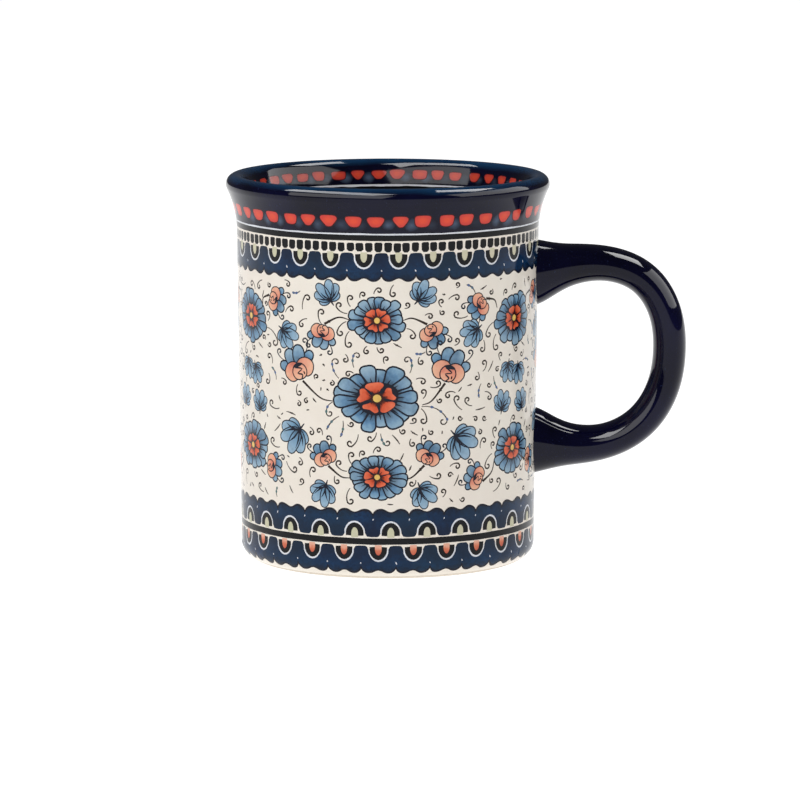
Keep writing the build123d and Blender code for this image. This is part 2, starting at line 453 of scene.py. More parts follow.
def leaf(painting, centre, heading, size):
    """A shell of lobes, ribbed from its stalk."""
    hand = painting.hand
    root = turned([(-0.44 * size, 0)], centre, heading)[0]
    line = 0.2 + size * 0.018
    for spread, length, width in LEAF_LOBES:
        oval(painting, "leaf", line, root, heading + spread, length * size, width * size)
    for spread in (-1.1, -0.6, 0.0, 0.58, 1.1):
        reach = size * hand.uniform(0.55, 0.7)
        rib = [root, turned([(reach * 0.5, 0.05 * size * hand.choice((-1, 1)))], root, heading + spread)[0],
               turned([(reach, 0.0)], root, heading + spread)[0]]
        painting.stroke("ink", smooth(rib, 2), [size * 0.05, size * 0.075, 0.1])
    end = turned([(-0.34 * size, 0.1 * size * hand.uniform(-1, 1))], root, heading)[0]
    painting.stroke("ink", smooth([root, (root + end) / 2, end], 2), [0.7, 0.55, 0.25])


LARGE_SPRAYS = (           # round a large flower: mark, angle on the flower, lean from it, length and bend
    (curl, 83, 45, 2.3, -1.0), (curl, 31, 0, 2.6, -1.2), (curl, -1, 35, 3.1, 1.1),
    (curl, -18, -15, 4.2, -1.1), (curl, -43, 20, 3.2, 1.1), (curl, -61, -45, 1.6, 1.4),
    (curl, -91, -60, 2.9, -1.3), (curl, -131, 70, 1.9, 1.2), (curl, 182, -30, 3.2, -1.1),
    (curl, 151, 25, 2.5, 1.2), (tendril, 146, -5, 5.4, -1.0),
    (tendril, 121, -5, 4.0, -0.9), (tendril, 43, 10, 4.5, 1.1), (spur, -5, 22, 12.5, -1.9),
    (tendril, -13, 26, 9.0, -1.3), (spur, -35, 14, 5.6, -1.0), (spur, -48, -20, 4.2, -0.4),
    (tendril, -83, -5, 3.6, 0.7), (spur, -139, 60, 4.8, -0.7), (spur, -147, -10, 5.6, 0.8),
    (tendril, -172, 8, 7.8, 1.5), (spur, 177, 3, 9.5, 0.3),
)
SMALL_SPRAYS = (           # the same round a small flower
    (curl, 148, -10, 2.9, -1.1), (curl, 124, -10, 1.7, -1.2), (tick, 44, 18, 2.8, 0.3),
    (curl, 29, -45, 1.6, 1.3), (curl, -2, 38, 2.5, 1.2), (spur, -9, 24, 11.5, -2.0),
    (curl, -15, 18, 6.2, -1.3), (curl, -24, -25, 2.0, -1.2), (curl, 185, 12, 4.4, 1.1),
    (curl, 176, -38, 1.8, -1.2), (curl, -154, 15, 4.4, 1.2), (curl, -140, 66, 3.0, 1.1),
    (curl, -88, -5, 1.9, 1.2), (curl, -47, -38, 2.3, -1.2), (curl, -36, 12, 1.6, 1.2),
    (tick, -60, 25, 3.2, 0.4), (curl, 96, -4, 2.2, -1.2), (curl, 70, 20, 3.0, 1.2),
    (tick, 84, 4, 2.6, 0.2), (curl, 165, 20, 5.2, -1.2),
)


FLOWERS = [                # degrees from the main column, height, width across, height across, petals
    (0, 74.0, 16.8, 14.6, 17), (0, 52.0, 25.2, 19.4, 17), (0, 29.6, 17.2, 13.4, 18),
    (60, 72.4, 18.0, 15.8, 17), (60, 35.2, 18.0, 14.6, 17),
]
BUDS = [                   # degrees, height, heading in degrees, size, and where the stem runs to
    (20.9, 70.1, -60, 7.7, (9.5, 74.0)), (27.8, 60.0, 72, 10.8, (17.0, 50.0)),
    (19.6, 35.6, 66, 7.5, (10.5, 29.0)), (40.6, 77.2, -142, 7.5, (49.5, 76.0)),
    (39.6, 28.3, 152, 7.3, (49.0, 33.0)), (-21.3, 69.6, -104, 7.7, (-10.0, 74.0)),
    (-32.0, 60.0, 112, 10.8, (-16.5, 50.8)), (-20.7, 35.1, 114, 7.5, (-10.5, 29.2)),
    (-43.0, 78.2, -22, 7.5, (-51.0, 76.0)), (-45.8, 30.4, -4, 7.3, (-52.0, 33.4)),
]
LEAVES = [                 # degrees, height, heading in degrees, size
    (18.0, 82.0, 55, 6.0), (36.4, 69.2, -150, 6.2), (56.5, 56.8, -95, 5.4), (53.5, 49.6, 80, 5.6),
    (34.5, 38.2, -40, 8.0), (18.5, 23.8, -62, 6.2),
    (-19.5, 82.0, 118, 6.0), (-36.2, 68.2, -40, 6.2), (-56.0, 55.8, -80, 5.4), (-54.0, 49.0, 100, 5.6),
    (-35.2, 39.4, -135, 8.0), (-21.8, 23.8, -120, 6.2),
]
MAIN_COLUMNS = (-4.0, 116.0, 236.0)  # degrees from the front of each column with a large flower
FIELD = (21.6, 84.2)       # lowest and highest ground that the loose curls may use
SPRAY_SIZES = (1.0, 0.75, 0.55)  # a spray that doesn't fit is tried smaller
FILLING = ((4.2, 500), (3.0, 900), (2.0, 1300), (1.2, 1500))  # length of the loose curls, and spots tried


def paint_field(painting, curl_gap):
    """Flowers, buds and leaves three times round the cup, then curls wherever there is ground left."""
    hand = painting.hand
    start = len(painting.marks)
    for column in MAIN_COLUMNS:
        for bearing, height, heading, size, (stem_bearing, stem_height) in BUDS:
            spot = place(column + bearing, height)
            bud(painting, spot, math.radians(heading), size, place(column + stem_bearing, stem_height))
        for bearing, height, heading, size in LEAVES:
            heading += hand.uniform(-8, 8)
            leaf(painting, place(column + bearing, height), math.radians(heading), size)
        for bearing, height, width, tall, petals in FLOWERS:
            flower(painting, place(column + bearing, height), width, tall, petals)
    painting.claim(start, 0.5)
    for column in MAIN_COLUMNS:
        for bearing, height, width, tall, _ in FLOWERS:
            around_flower(painting, place(column + bearing, height), width, tall, curl_gap)
    fill_with_curls(painting, curl_gap)


def try_mark(painting, draw, start, heading, length, bend, gap):
    """Draws a curl, tendril or tick if the ground under it is free, and claims the ground."""
    line = curl_line(start, heading, length, bend)
    if draw in (tick, spur):
        line = line[:LEAD_STEPS + 1]
    if line[:, 1].min() < FIELD[0] or line[:, 1].max() > FIELD[1] or not painting.is_free(line[1:]):
        return False
    first = len(painting.marks)
    draw(painting, start, heading, length, bend)
    painting.claim(first, gap)
    return True


def around_flower(painting, centre, width, height, gap):
    """Curls and beaded tendrils that spring from the tips of a flower's petals, where the ground is free."""
    hand = painting.hand
    for draw, clock, lean, length, bend in LARGE_SPRAYS if width > LARGE else SMALL_SPRAYS:
        angle = math.radians(clock + hand.uniform(-3, 3))
        way = on_oval((width / 2, height / 2), angle)
        heading = angle + math.radians(lean)
        for share in SPRAY_SIZES:
            if try_mark(painting, draw, centre + way * 1.03, heading, length * share, bend, gap):
                break


def fill_with_curls(painting, gap):
    """Smaller and smaller curls and ticks in the ground that is left."""
    hand = painting.hand
    for length, tries in FILLING:
        for _ in range(tries):
            start = np.array([hand.uniform(0, AROUND), hand.uniform(*FIELD)])
            heading = hand.uniform(0, TURN)
            bend = hand.choice((-1, 1)) * hand.uniform(0.8, 1.4)
            draw = hand.choices((curl, spur, tick), (8, 2 if length > 2.5 else 0, 2.0))[0]
            try_mark(painting, draw, start, heading, length, bend, gap)


# ---------------------------------------------------------------- bands
BAND_STEPS = 72            # steps of a band's wavering edge, right round the cup
BAND_STRETCH = 12          # steps painted at a time


def ring_band(painting, paint, low, high, waver=0.0):
    """A band right round the cup, with edges that waver as a banding brush's do."""
    hand = painting.hand
    us = np.linspace(0, AROUND, BAND_STEPS + 1)
    edges = []
    for level in (low, high):
        phases = [hand.uniform(0, TURN) for _ in range(3)]
        wave = sum(np.sin(TURN * us / AROUND * n + p) for n, p in zip((7, 17, 29), phases)) / 3
        edges.append(np.stack([us, level + wave * waver], 1))
    for i in range(0, BAND_STEPS, BAND_STRETCH):
        below, above = [edge[i:i + BAND_STRETCH + 1] for edge in edges]
        loop = np.vstack([below, above[::-1]])
        painting.area(paint, loop, (0.0, low), (0.0, 1.0), high - low, 1.0)


def square_row(painting, count, low, high):
    """A row of rounded squares stamped side by side."""
    hand = painting.hand
    pitch = AROUND / count
    for i in range(count):
        middle = (i + hand.uniform(-0.05, 0.05)) * pitch
        half = pitch * hand.uniform(0.385, 0.445)
        bottom, top = low + hand.uniform(-0.15, 0.15), high + hand.uniform(-0.12, 0.08)
        cut = 0.22 * pitch
        blunt = cut * 0.6
        corners = [
            (-half, bottom + cut), (-half + cut, bottom), (half - cut, bottom), (half, bottom + cut),
            (half, top - blunt), (half - blunt, top), (-half + blunt, top), (-half, top - blunt),
        ]
        loop = np.array([(middle + x * hand.uniform(0.93, 1.05), y) for x, y in corners])
        painting.area("black", loop)


SCALLOP_WIDTH = 9.65       # the outlines below are of a scallop this wide, with its arch in its middle
SCALLOP_HEIGHT = 7.8
CUSP = SCALLOP_WIDTH / 2 + 0.005  # where two scallops meet
ARCH_SIDE = ((-0.1, 4.25), (1.35, 3.85), (2.55, 2.3), (2.78, 0.9), (3.3, -0.05))
HUMP = ((4.2, -0.2), (5.45, -0.2), (6.35, -0.05), (6.87, 0.9), (7.1, 2.3), (8.3, 3.85), (9.75, 4.25))
BOW = ((-2.6, 0.6), (-2.5, 2.0), (-1.5, 3.6), (0, 4.15), (1.5, 3.6), (2.5, 2.0), (2.6, 1.0))
ARCH_OUTER = ((-2.42, 0.2), (-2.32, 1.9), (-1.38, 3.35), (0, 3.92), (1.38, 3.35), (2.32, 1.9), (2.42, 0.2))
ARCH_INNER = ((0.92, 0.1), (0.88, 1.3), (0.52, 2.2), (0, 2.55), (-0.52, 2.2), (-0.88, 1.3), (-0.92, 0.1))
TONGUE = ((-0.95, -0.35), *[(-x, y) for x, y in ARCH_INNER], (0.95, -0.35))


def scallops(painting, count, phase, base, upright, core):
    """A row of arches under scallops. upright is 1 where the scallops point up, -1 where they hang."""
    hand = painting.hand
    pitch = AROUND / count

    def spot(middle, points):
        p = np.asarray(points, float)
        return np.stack([middle + p[:, 0] * pitch / SCALLOP_WIDTH, base + upright * p[:, 1]], 1)

    for i in range(count):
        middle = phase + i * pitch
        lobe = hand.uniform(-0.15, 0.15)
        dip = CUSP + hand.uniform(-0.12, 0.12)
        edge = [(9.75, 6.95), (8.8, 7.2), (7.4, SCALLOP_HEIGHT + lobe), (6.0, 7.65), (5.1, 6.8), (dip, 5.9)]
        back = [(dip, 5.9), (4.56, 6.8), (3.6, 7.65), (2.2, SCALLOP_HEIGHT - lobe), (0.85, 7.2), (-0.1, 6.95)]
        edge, back = smooth(edge, 3), smooth(back, 3)
        loop = spot(middle, np.vstack([smooth(ARCH_SIDE, 2), smooth(HUMP, 2), edge, back[1:]]))
        painting.area("navy", loop, (middle, base), (0.0, upright), SCALLOP_HEIGHT)
        for rim in (edge, back):
            painting.stroke("ink", spot(middle, rim - (0, 0.24)), [0.2, 0.55, 0.66, 0.55, 0.25])
        tip = spot(middle, [(dip, 4.8)])[0]
        painting.dab("white", tip, hand.uniform(0.5, 0.95), 0.34, 1.2 * upright, 6)
    for i in range(count):
        middle = phase + i * pitch + hand.uniform(-0.08, 0.08)
        mirror = hand.choice((1, 1, 1, -1))
        bow = smooth([(x * mirror, y) for x, y in BOW], 2)
        painting.stroke("white", spot(middle, bow), [0.28, 0.48, 0.55, 0.5, 0.36, 0.28, 0.2])
        painting.area(core, spot(middle, smooth(TONGUE, 2)), (middle, base), (0.0, upright), 2.5)
        arch = np.vstack([smooth(ARCH_OUTER, 2), smooth(ARCH_INNER, 2)])
        painting.area("black", spot(middle, arch))


def paint_bands(painting, sizes):
    """Every band, from the cobalt line down to the foot."""
    start = len(painting.marks)
    ring_band(painting, "black", 96.35, 98.0, 0.08)
    ring_band(painting, "white", 98.0, COBALT_LINE + 0.5, 0.06)
    ring_band(painting, "cobalt", 98.42, COBALT_LINE + 0.5, 0.12)
    square_row(painting, sizes.squares, 93.25, 95.9)
    scallops(painting, sizes.upper_scallops, place(-8.8, 0)[0], 92.8, -1, "sage")
    scallops(painting, sizes.lower_scallops, place(1.2, 0)[0], 12.7, 1, "sage")
    ring_band(painting, "black", 10.35, 12.15, 0.08)
    scallops(painting, sizes.foot_scallops, place(-3.6, 0)[0], 9.85, -1, "rust")
    painting.claim(start, 0.35)


def paint_rim(painting, dots):
    """Orange-red dots round the outside and the inside of the cobalt rim, and blue smudges between them."""
    hand = painting.hand
    bands = ((rim_outside(100.3), rim_outside(103.6), 1), (rim_inside(105.4), rim_inside(108.0), -1))
    pitch = AROUND / dots
    for low, high, up in bands:
        low, high = min(low, high), max(low, high)
        tall = high - low
        for i in range(dots):
            middle = (i + 0.5 + hand.uniform(-0.15, 0.15)) * pitch
            foot = low + 0.15 * tall if up > 0 else high - 0.15 * tall
            painting.dab("smudge", (middle, foot), pitch * hand.uniform(0.6, 0.95), tall * 1.25, 0.0, 12)
        for i in range(dots):
            middle = (i + hand.uniform(-0.08, 0.08)) * pitch
            half = pitch * hand.uniform(0.28, 0.35)
            toe = hand.uniform(0.5, 0.95)
            lean = hand.uniform(-0.35, 0.35)
            size = tall * hand.uniform(0.84, 1.0)
            outline = [
                (-half, 0.9), (-half * 0.6, 1.0), (half * 0.6, 1.0), (half, 0.88), (half * 1.04, 0.62),
                (half * toe, 0.16), (half * toe * 0.45, 0.0), (-half * toe * 0.45, 0.0), (-half * toe, 0.16),
                (-half * 1.04, 0.62),
            ]
            loop = smooth([(middle + x + lean * y, y * size) for x, y in outline], 2, closed=True)
            loop[:, 1] = low + loop[:, 1] if up > 0 else high - loop[:, 1]
            painting.outlined("dot", loop, 0.26, "maroon", reach=half, width=size / 2)


# ---------------------------------------------------------------- the skin that the painting is inlaid in
PAINTS = (
    "ground", "petal", "leaf", "ink", "sepia", "coral", "maroon", "yellow", "pink", "navy", "black",
    "white", "sage", "rust", "teal", "dot", "smudge", "cobalt",
)


def picture_cell(paint, ground):
    """The part of the colour picture that a paint has to itself, as (low u, low v, width, height)."""
    if paint == ground:
        return 0.5, 0.5, 0.5, 0.5
    if paint in ("petal", "smudge"):
        return 0.0, 0.5, 0.5, 0.5
    number = PAINTS.index(paint) % 16
    return (number % 4) * 0.25, (number // 4) * 0.125, 0.25, 0.125


def flat_triangles(marks, bottom, top, levels):
    """Cuts the unrolled skin into triangles along every mark, and says which mark each triangle shows.

    bottom and top are where the points of the skin's two rims stand round the cup, and levels run
    from rim to rim.
    """
    points, edges, loops = [], [], []

    def add_loop(loop):
        first, count = len(points), len(loop)
        points.extend(Vector(p) for p in loop)
        edges.extend((first + i, first + (i + 1) % count) for i in range(count))

    low, high = levels[0], levels[-1]
    between = levels[1:-1]
    border = [(u, low) for u in bottom] + [(AROUND, h) for h in between]
    border += [(u, high) for u in top[::-1]] + [(0.0, h) for h in between[::-1]]
    add_loop(border)
    points.extend(Vector((u, h)) for u in COLUMNS[1:-1] for h in between)
    for number, (_, loop, *_) in enumerate(marks):
        for shift in (-AROUND, 0.0, AROUND):
            moved = loop + (shift, 0.0)
            if moved[:, 0].max() > 0 and moved[:, 0].min() < AROUND:
                add_loop(moved)
                loops.append((number, moved))
    flat, _, faces, *_ = delaunay_2d_cdt(points, edges, [], 0, NEAR, False)
    flat = np.array([tuple(p) for p in flat])
    faces = np.array(faces)
    middle = flat[faces].mean(1)
    keep = (middle[:, 0] > 0) & (middle[:, 0] < AROUND) & (middle[:, 1] > low) & (middle[:, 1] < high)
    faces, middle = faces[keep], middle[keep]
    side = flat[faces[:, 1:]] - flat[faces[:, :1]]
    area = side[:, 0, 0] * side[:, 1, 1] - side[:, 0, 1] * side[:, 1, 0]
    faces[area < 0] = faces[area < 0][:, ::-1]
    order = np.argsort(middle[:, 0])
    faces, middle = faces[order], middle[order]
    shown = np.full(len(faces), -1)
    for number, loop in loops:
        first, last = np.searchsorted(middle[:, 0], (loop[:, 0].min(), loop[:, 0].max()))
        spots = middle[first:last]
        near = np.nonzero((spots[:, 1] > loop[:, 1].min()) & (spots[:, 1] < loop[:, 1].max()))[0]
        hit = near[winding(loop, spots[near])]
        shown[first + hit] = np.maximum(shown[first + hit], number)
    used, faces = np.unique(faces, return_inverse=True)
    return flat[used], faces.reshape(-1, 3), shown


def rim_rows(flat, faces, levels):
    """The points of a skin on its lower and on its upper rim, in order round the cup."""
    edges = np.vstack([faces[:, [0, 1]], faces[:, [1, 2]], faces[:, [2, 0]]])
    ends, uses = np.unique(np.sort(edges, 1), axis=0, return_counts=True)
    border = np.unique(ends[uses == 1])
    rows = [border[np.abs(flat[border, 1] - level) < 2 * NEAR] for level in (levels[0], levels[-1])]
    return [row[np.argsort(flat[row, 0])] for row in rows]


def seam_weld(flat):
    """For each point, the point that it becomes when the seam's right side is welded to its left."""
    weld = np.arange(len(flat))
    left = np.nonzero(np.abs(flat[:, 0]) < NEAR)[0]
    for i in np.nonzero(np.abs(flat[:, 0] - AROUND) < NEAR)[0]:
        weld[i] = left[np.argmin(np.abs(flat[left, 1] - flat[i, 1]))]
    return weld


def inlaid_skin(name, marks, outline, levels, ground):
    """A closed skin of glaze on the turned cup, with the marks of a painting inlaid in its outer side."""
    levels = sorted(levels)
    low, high = levels[0], levels[-1]
    flat, faces, shown = flat_triangles(marks, COLUMNS, COLUMNS, levels)
    rims = rim_rows(flat, faces, levels)
    inner_flat, inner_faces, _ = flat_triangles([], *[list(flat[row, 0]) for row in rims], levels)
    inner_rims = rim_rows(inner_flat, inner_faces, levels)
    if [len(row) for row in rims] != [len(row) for row in inner_rims]:
        raise RuntimeError(f"the two sides of {name} don't meet at its rims")
    spread = np.vstack([flat, inner_flat])
    weld = np.concatenate([seam_weld(flat), seam_weld(inner_flat) + len(flat)])
    profile = [outline(min(max(height, low), high)) for height in spread[:, 1]]
    spot, out = np.array([p for p, _ in profile]), np.array([d for _, d in profile])
    spot[len(flat):] -= out[len(flat):] * GLAZE
    bearing = spread[:, 0] / UNROLLED_RADIUS + math.radians(SEAM)
    way = np.stack([np.sin(bearing), -np.cos(bearing)], 1)
    place_of = np.column_stack([way * spot[:, :1], spot[:, 1]])
    normal = np.column_stack([way * out[:, :1], out[:, 1]])
    normal[len(flat):] *= -1

    strips = []
    for row, inner_row, turn in zip(rims, inner_rims, (-1, 1)):
        inner_row = inner_row + len(flat)
        for a, b, c, d in zip(row, row[1:], inner_row[1:], inner_row):
            strips.append((a, b, c, d)[::turn])
    polygons = [tuple(f) for f in weld[faces]]
    polygons += [tuple(f) for f in weld[inner_faces + len(flat)][:, ::-1]]
    polygons += [tuple(weld[list(strip)]) for strip in strips]
    used = np.unique(weld)
    number_of = np.full(len(spread), -1)
    number_of[used] = np.arange(len(used))
    mesh = bpy.data.meshes.new(name)
    mesh.from_pydata(
        (place_of[used] * MM).tolist(), [], [[int(number_of[i]) for i in p] for p in polygons])
    corners = np.concatenate([faces.ravel(), inner_faces[:, ::-1].ravel() + len(flat), np.ravel(strips)])
    finish_skin(mesh, marks, spread[corners], shown, ground, levels)
    normals = normal[corners]
    normals[-4 * len(strips):] = 0.0
    mesh.normals_split_custom_set(normals.tolist())
    skin = bpy.data.objects.new(name, mesh)
    bpy.context.scene.collection.objects.link(skin)
    return skin


def finish_skin(mesh, marks, spots, shown, ground, levels):
    """Gives a skin its paints, the frame of each mark and a place in the colour picture, corner by corner."""
    paints = [ground] + sorted({mark[0] for mark in marks} - {ground})
    for paint in paints:
        mesh.materials.append(paint_material(paint))
    slots = np.array([paints.index(mark[0]) for mark in marks] + [0])
    face_slots = np.zeros(len(mesh.polygons), int)
    face_slots[:len(shown)] = slots[shown]
    mesh.polygons.foreach_set("material_index", face_slots)
    mesh.polygons.foreach_set("use_smooth", np.ones(len(mesh.polygons), bool))

    top = len(shown) * 3
    number = np.repeat(shown, 3)
    origin, along, across = [np.array([m[k] for m in marks] + [(0.0, 0.0)])[number] for k in (2, 3, 4)]
    away = spots[:top] - origin
    away[:, 0] -= AROUND * np.round(away[:, 0] / AROUND)
    tones = np.array([m[5] for m in marks] + [0.5])[number]
    wash = np.zeros((len(spots), 3))
    wash[:top] = np.stack([(away * along).sum(1), (away * across).sum(1), tones], 1)
    mesh.attributes.new("wash", "FLOAT_VECTOR", "CORNER").data.foreach_set("vector", wash.ravel())

    cells = np.array([picture_cell(paint, ground) for paint in paints])
    hidden = np.array(picture_cell("black" if ground == "cobalt" else "dot", ground))
    cell = np.vstack([cells[np.repeat(face_slots[:len(shown)], 3)], np.tile(hidden, (len(spots) - top, 1))])
    share = (spots - (0.0, levels[0])) / (AROUND, levels[-1] - levels[0])
    uv = mesh.uv_layers.new(name="OFBake")
    uv.data.foreach_set("uv", (cell[:, :2] + (0.02 + 0.96 * share) * cell[:, 2:]).ravel())


# ---------------------------------------------------------------- finishes
def new_finish(name, roughness, ripple, gloss):
    """A glazed finish with nothing but its gloss and the faint ripple of a fired glaze."""
    material = bpy.data.materials.new(name)
    material.use_nodes = True
    tree = material.node_tree
    shader = tree.nodes["Principled BSDF"]
    shader.inputs["IOR"].default_value = 1.5
    shader.inputs["Specular IOR Level"].default_value = gloss
    place_of = tree.nodes.new("ShaderNodeTexCoord").outputs["Object"]
    worn = mapped(tree, noise(tree, place_of, 420.0, 4.0), roughness * 0.7, roughness * 1.5)
    tree.links.new(worn, shader.inputs["Roughness"])
    bump = tree.nodes.new("ShaderNodeBump")
    bump.inputs["Strength"].default_value = ripple
    bump.inputs["Distance"].default_value = 0.001
    tree.links.new(noise(tree, place_of, 110.0, 2.0), bump.inputs["Height"])
    tree.links.new(bump.outputs[0], shader.inputs["Normal"])
    return material, tree, shader, place_of


def noise(tree, vector, scale, detail):
    """Noise over a vector. Scales are per metre on the object."""
    node = tree.nodes.new("ShaderNodeTexNoise")
    node.inputs["Scale"].default_value = scale
    node.inputs["Detail"].default_value = detail
    tree.links.new(vector, node.inputs["Vector"])
    return node.outputs["Fac"]


def mapped(tree, value, low, high, start=0.3, end=0.7):
    """A value brought from one range to another, held at both ends."""
    node = tree.nodes.new("ShaderNodeMapRange")
    for socket, number in zip(("From Min", "From Max", "To Min", "To Max"), (start, end, low, high)):
        node.inputs[socket].default_value = number
    tree.links.new(value, node.inputs["Value"])
    return node.outputs["Result"]


def maths(tree, operation, first, second):
    """One sum of two numbers or outputs."""
    node = tree.nodes.new("ShaderNodeMath")
    node.operation = operation
    for socket, value in zip(node.inputs, (first, second)):
        if isinstance(value, (int, float)):
            socket.default_value = value
        else:
            tree.links.new(value, socket)
    return node.outputs[0]


def blended(tree, share, first, second):
    """Two colours, or colour outputs, mixed by a share."""
    node = tree.nodes.new("ShaderNodeMix")
    node.data_type = "RGBA"
    tree.links.new(share, node.inputs["Factor"])
    for socket, colour in ((node.inputs[6], first), (node.inputs[7], second)):
        if isinstance(colour, tuple):
            socket.default_value = (*colour, 1.0)
        else:
            tree.links.new(colour, socket)
    return node.outputs[2]


def ramp(tree, value, stops):
    """A colour ramp from (place, colour) stops."""
    node = tree.nodes.new("ShaderNodeValToRGB")
    elements = node.color_ramp.elements
    while len(elements) < len(stops):
        elements.new(0.5)
    for element, (where, colour) in zip(elements, stops):
        element.position = where
        element.color = (*colour, 1.0)
    tree.links.new(value, node.inputs["Fac"])
    return node.outputs["Color"]


def scaled(colour, factor):
    """A colour made darker or brighter, and no brighter than white."""
    return tuple(min(1.0, channel * factor) for channel in colour)


# colours that the paints and glazes run into
PETAL_TIP = (0.23, 0.39, 0.53)
PETAL_PALE = (0.36, 0.48, 0.56)
LEAF_TIP = (0.40, 0.56, 0.69)
CORAL_TIP = (0.78, 0.17, 0.08)
PINK_ROOT = (0.50, 0.10, 0.07)
PINK_MIDDLE = (0.74, 0.24, 0.16)
PINK_PALE = (0.86, 0.53, 0.36)
# brighter blue across the middle of each navy scallop
NAVY_MIDDLE_BLUE = (0.003, 0.034, 0.105)
NAVY_GREEN = (0.012, 0.036, 0.055)
DOT_EDGE = (0.50, 0.035, 0.045)
BEAD_BLUE = (0.085, 0.13, 0.27)
SAGE_WARM = (0.66, 0.60, 0.46)
RUST_PALE = (0.80, 0.42, 0.30)
RUST_DARK = (0.58, 0.12, 0.07)
GROUND_WARM = (0.82, 0.755, 0.66)
GROUND_PINK = (0.86, 0.74, 0.66)
GROUND_FLECK = (0.45, 0.35, 0.25)
COBALT_FLECK = (0.02, 0.035, 0.10)
# paler blue for the thin glaze on the lip's crest, which also serves as a painted highlight there
COBALT_THIN_AND_HIGHLIGHT = (0.006, 0.05, 0.13)
CLEAR_WARM = (0.80, 0.735, 0.63)
CLEAR_FLECK = (0.42, 0.32, 0.22)
CLAY_FLECK = (0.30, 0.22, 0.15)


class Spot:
    """What a paint's finish reads at a spot: where it lies in its brush mark, and two kinds of noise."""

    def __init__(self, tree, place_of):
        source = tree.nodes.new("ShaderNodeAttribute")
        source.attribute_name = "wash"
        parts = tree.nodes.new("ShaderNodeSeparateXYZ")
        tree.links.new(source.outputs["Vector"], parts.inputs[0])
        self.place = place_of
        self.along, self.across, self.tone = parts.outputs
        self.brush = noise(tree, place_of, 900.0, 5.0)
        self.cloud = noise(tree, place_of, 170.0, 3.0)
        self.uneven = maths(tree, "ADD", self.along, mapped(tree, self.brush, -0.16, 0.16))


def petal_wash(tree, spot, base):
    """Dark at the root and pale at the tip, and paler all over on some petals."""
    body = ramp(tree, spot.uneven, [(0.0, scaled(base, 0.1)), (0.26, scaled(base, 0.4)), (0.6, base),
                                    (0.95, PETAL_TIP)])
    paler = maths(tree, "MULTIPLY", mapped(tree, spot.tone, 0.0, 0.6, 0.0, 1.0),
                  mapped(tree, spot.along, 0.25, 1.0, 0.1, 0.8))
    body = blended(tree, paler, body, PETAL_PALE)
    return blended(tree, mapped(tree, spot.cloud, 0.0, 0.7, 0.48, 0.68), body, scaled(base, 0.6))


def leaf_wash(tree, spot, base):
    """Dark at the stalk, pale at the lobes' tips, and streaked by the brush."""
    body = ramp(tree, spot.uneven, [(0.0, scaled(base, 0.25)), (0.3, base), (0.9, LEAF_TIP)])
    return blended(tree, mapped(tree, spot.brush, 0.0, 0.55), body, scaled(base, 0.6))


def coral_wash(tree, spot, base):
    """Dark at the root and orange at the tip."""
    return ramp(tree, spot.uneven, [(0.0, scaled(base, 0.2)), (0.3, base), (0.9, CORAL_TIP)])


def pink_wash(tree, spot, base):
    """Red at the root and pale at the tip, and paler all over on some lobes."""
    body = ramp(tree, spot.uneven, [(0.0, PINK_ROOT), (0.42, PINK_MIDDLE), (0.95, base)])
    return blended(tree, mapped(tree, spot.tone, 0.0, 0.5, 0.0, 1.0), body, PINK_PALE)


def navy_wash(tree, spot, base):
    """Brighter blue across its middle, clouded, and greener on some scallops."""
    body = ramp(tree, spot.uneven, [(0.0, scaled(base, 0.7)), (0.3, base), (0.68, NAVY_MIDDLE_BLUE),
                                    (1.0, scaled(base, 0.5))])
    body = blended(tree, mapped(tree, spot.cloud, 0.0, 0.7), body, scaled(base, 0.45))
    return blended(tree, mapped(tree, spot.tone, 0.0, 0.35, 0.0, 1.0), body, NAVY_GREEN)


def smudge_wash(tree, spot, base):
    """A soft blue breath that fades into the cobalt round it."""
    far = maths(tree, "ADD", far_from_middle(tree, spot), mapped(tree, spot.cloud, -0.3, 0.3))
    shade = maths(tree, "MULTIPLY", mapped(tree, far, 1.0, 0.0, 0.1, 0.95),
                  mapped(tree, spot.tone, 0.1, 1.0, 0.0, 1.0))
    return blended(tree, shade, tuple(bpy.context.scene.mug_colours.cobalt), base)


def dot_wash(tree, spot, base):
    """Darker red towards its edge."""
    return blended(tree, mapped(tree, far_from_middle(tree, spot), 0.0, 0.7, 0.3, 1.1), base, DOT_EDGE)


def teal_wash(tree, spot, base):
    """Green on some beads and blue on others."""
    return blended(tree, mapped(tree, spot.tone, 0.0, 1.0), base, BEAD_BLUE)


def sage_wash(tree, spot, base):
    """Clouded with a warmer grey."""
    return blended(tree, mapped(tree, spot.cloud, 0.0, 0.8), base, SAGE_WARM)


def rust_wash(tree, spot, base):
    """Pale at the foot of a tongue and dark at its tip."""
    return ramp(tree, spot.uneven, [(0.1, RUST_PALE), (0.5, base), (0.95, RUST_DARK)])


def ground_wash(tree, spot, base):
    """Cream with warm clouds, a pink cast in places and a few fine flecks."""
    body = blended(tree, mapped(tree, spot.cloud, 0.0, 0.5), base, GROUND_WARM)
    body = blended(tree, mapped(tree, noise(tree, spot.place, 34.0, 2.0), 0.0, 0.35), body, GROUND_PINK)
    fleck = mapped(tree, noise(tree, spot.place, 2600.0, 2.0), 0.0, 0.35, 0.68, 0.80)
    return blended(tree, fleck, body, GROUND_FLECK)


def plain_wash(tree, spot, base):
    """Clouded darker, with paler streaks of the brush."""
    body = blended(tree, mapped(tree, spot.cloud, 0.0, 0.6), base, scaled(base, 0.6))
    return blended(tree, mapped(tree, spot.brush, 0.0, 0.3), body, scaled(base, 1.6))


def far_from_middle(tree, spot):
    """The distance from a mark's middle, in parts of its reach."""
    squares = [maths(tree, "MULTIPLY", part, part) for part in (spot.along, spot.across)]
    return maths(tree, "SQRT", maths(tree, "ADD", *squares), 0.0)


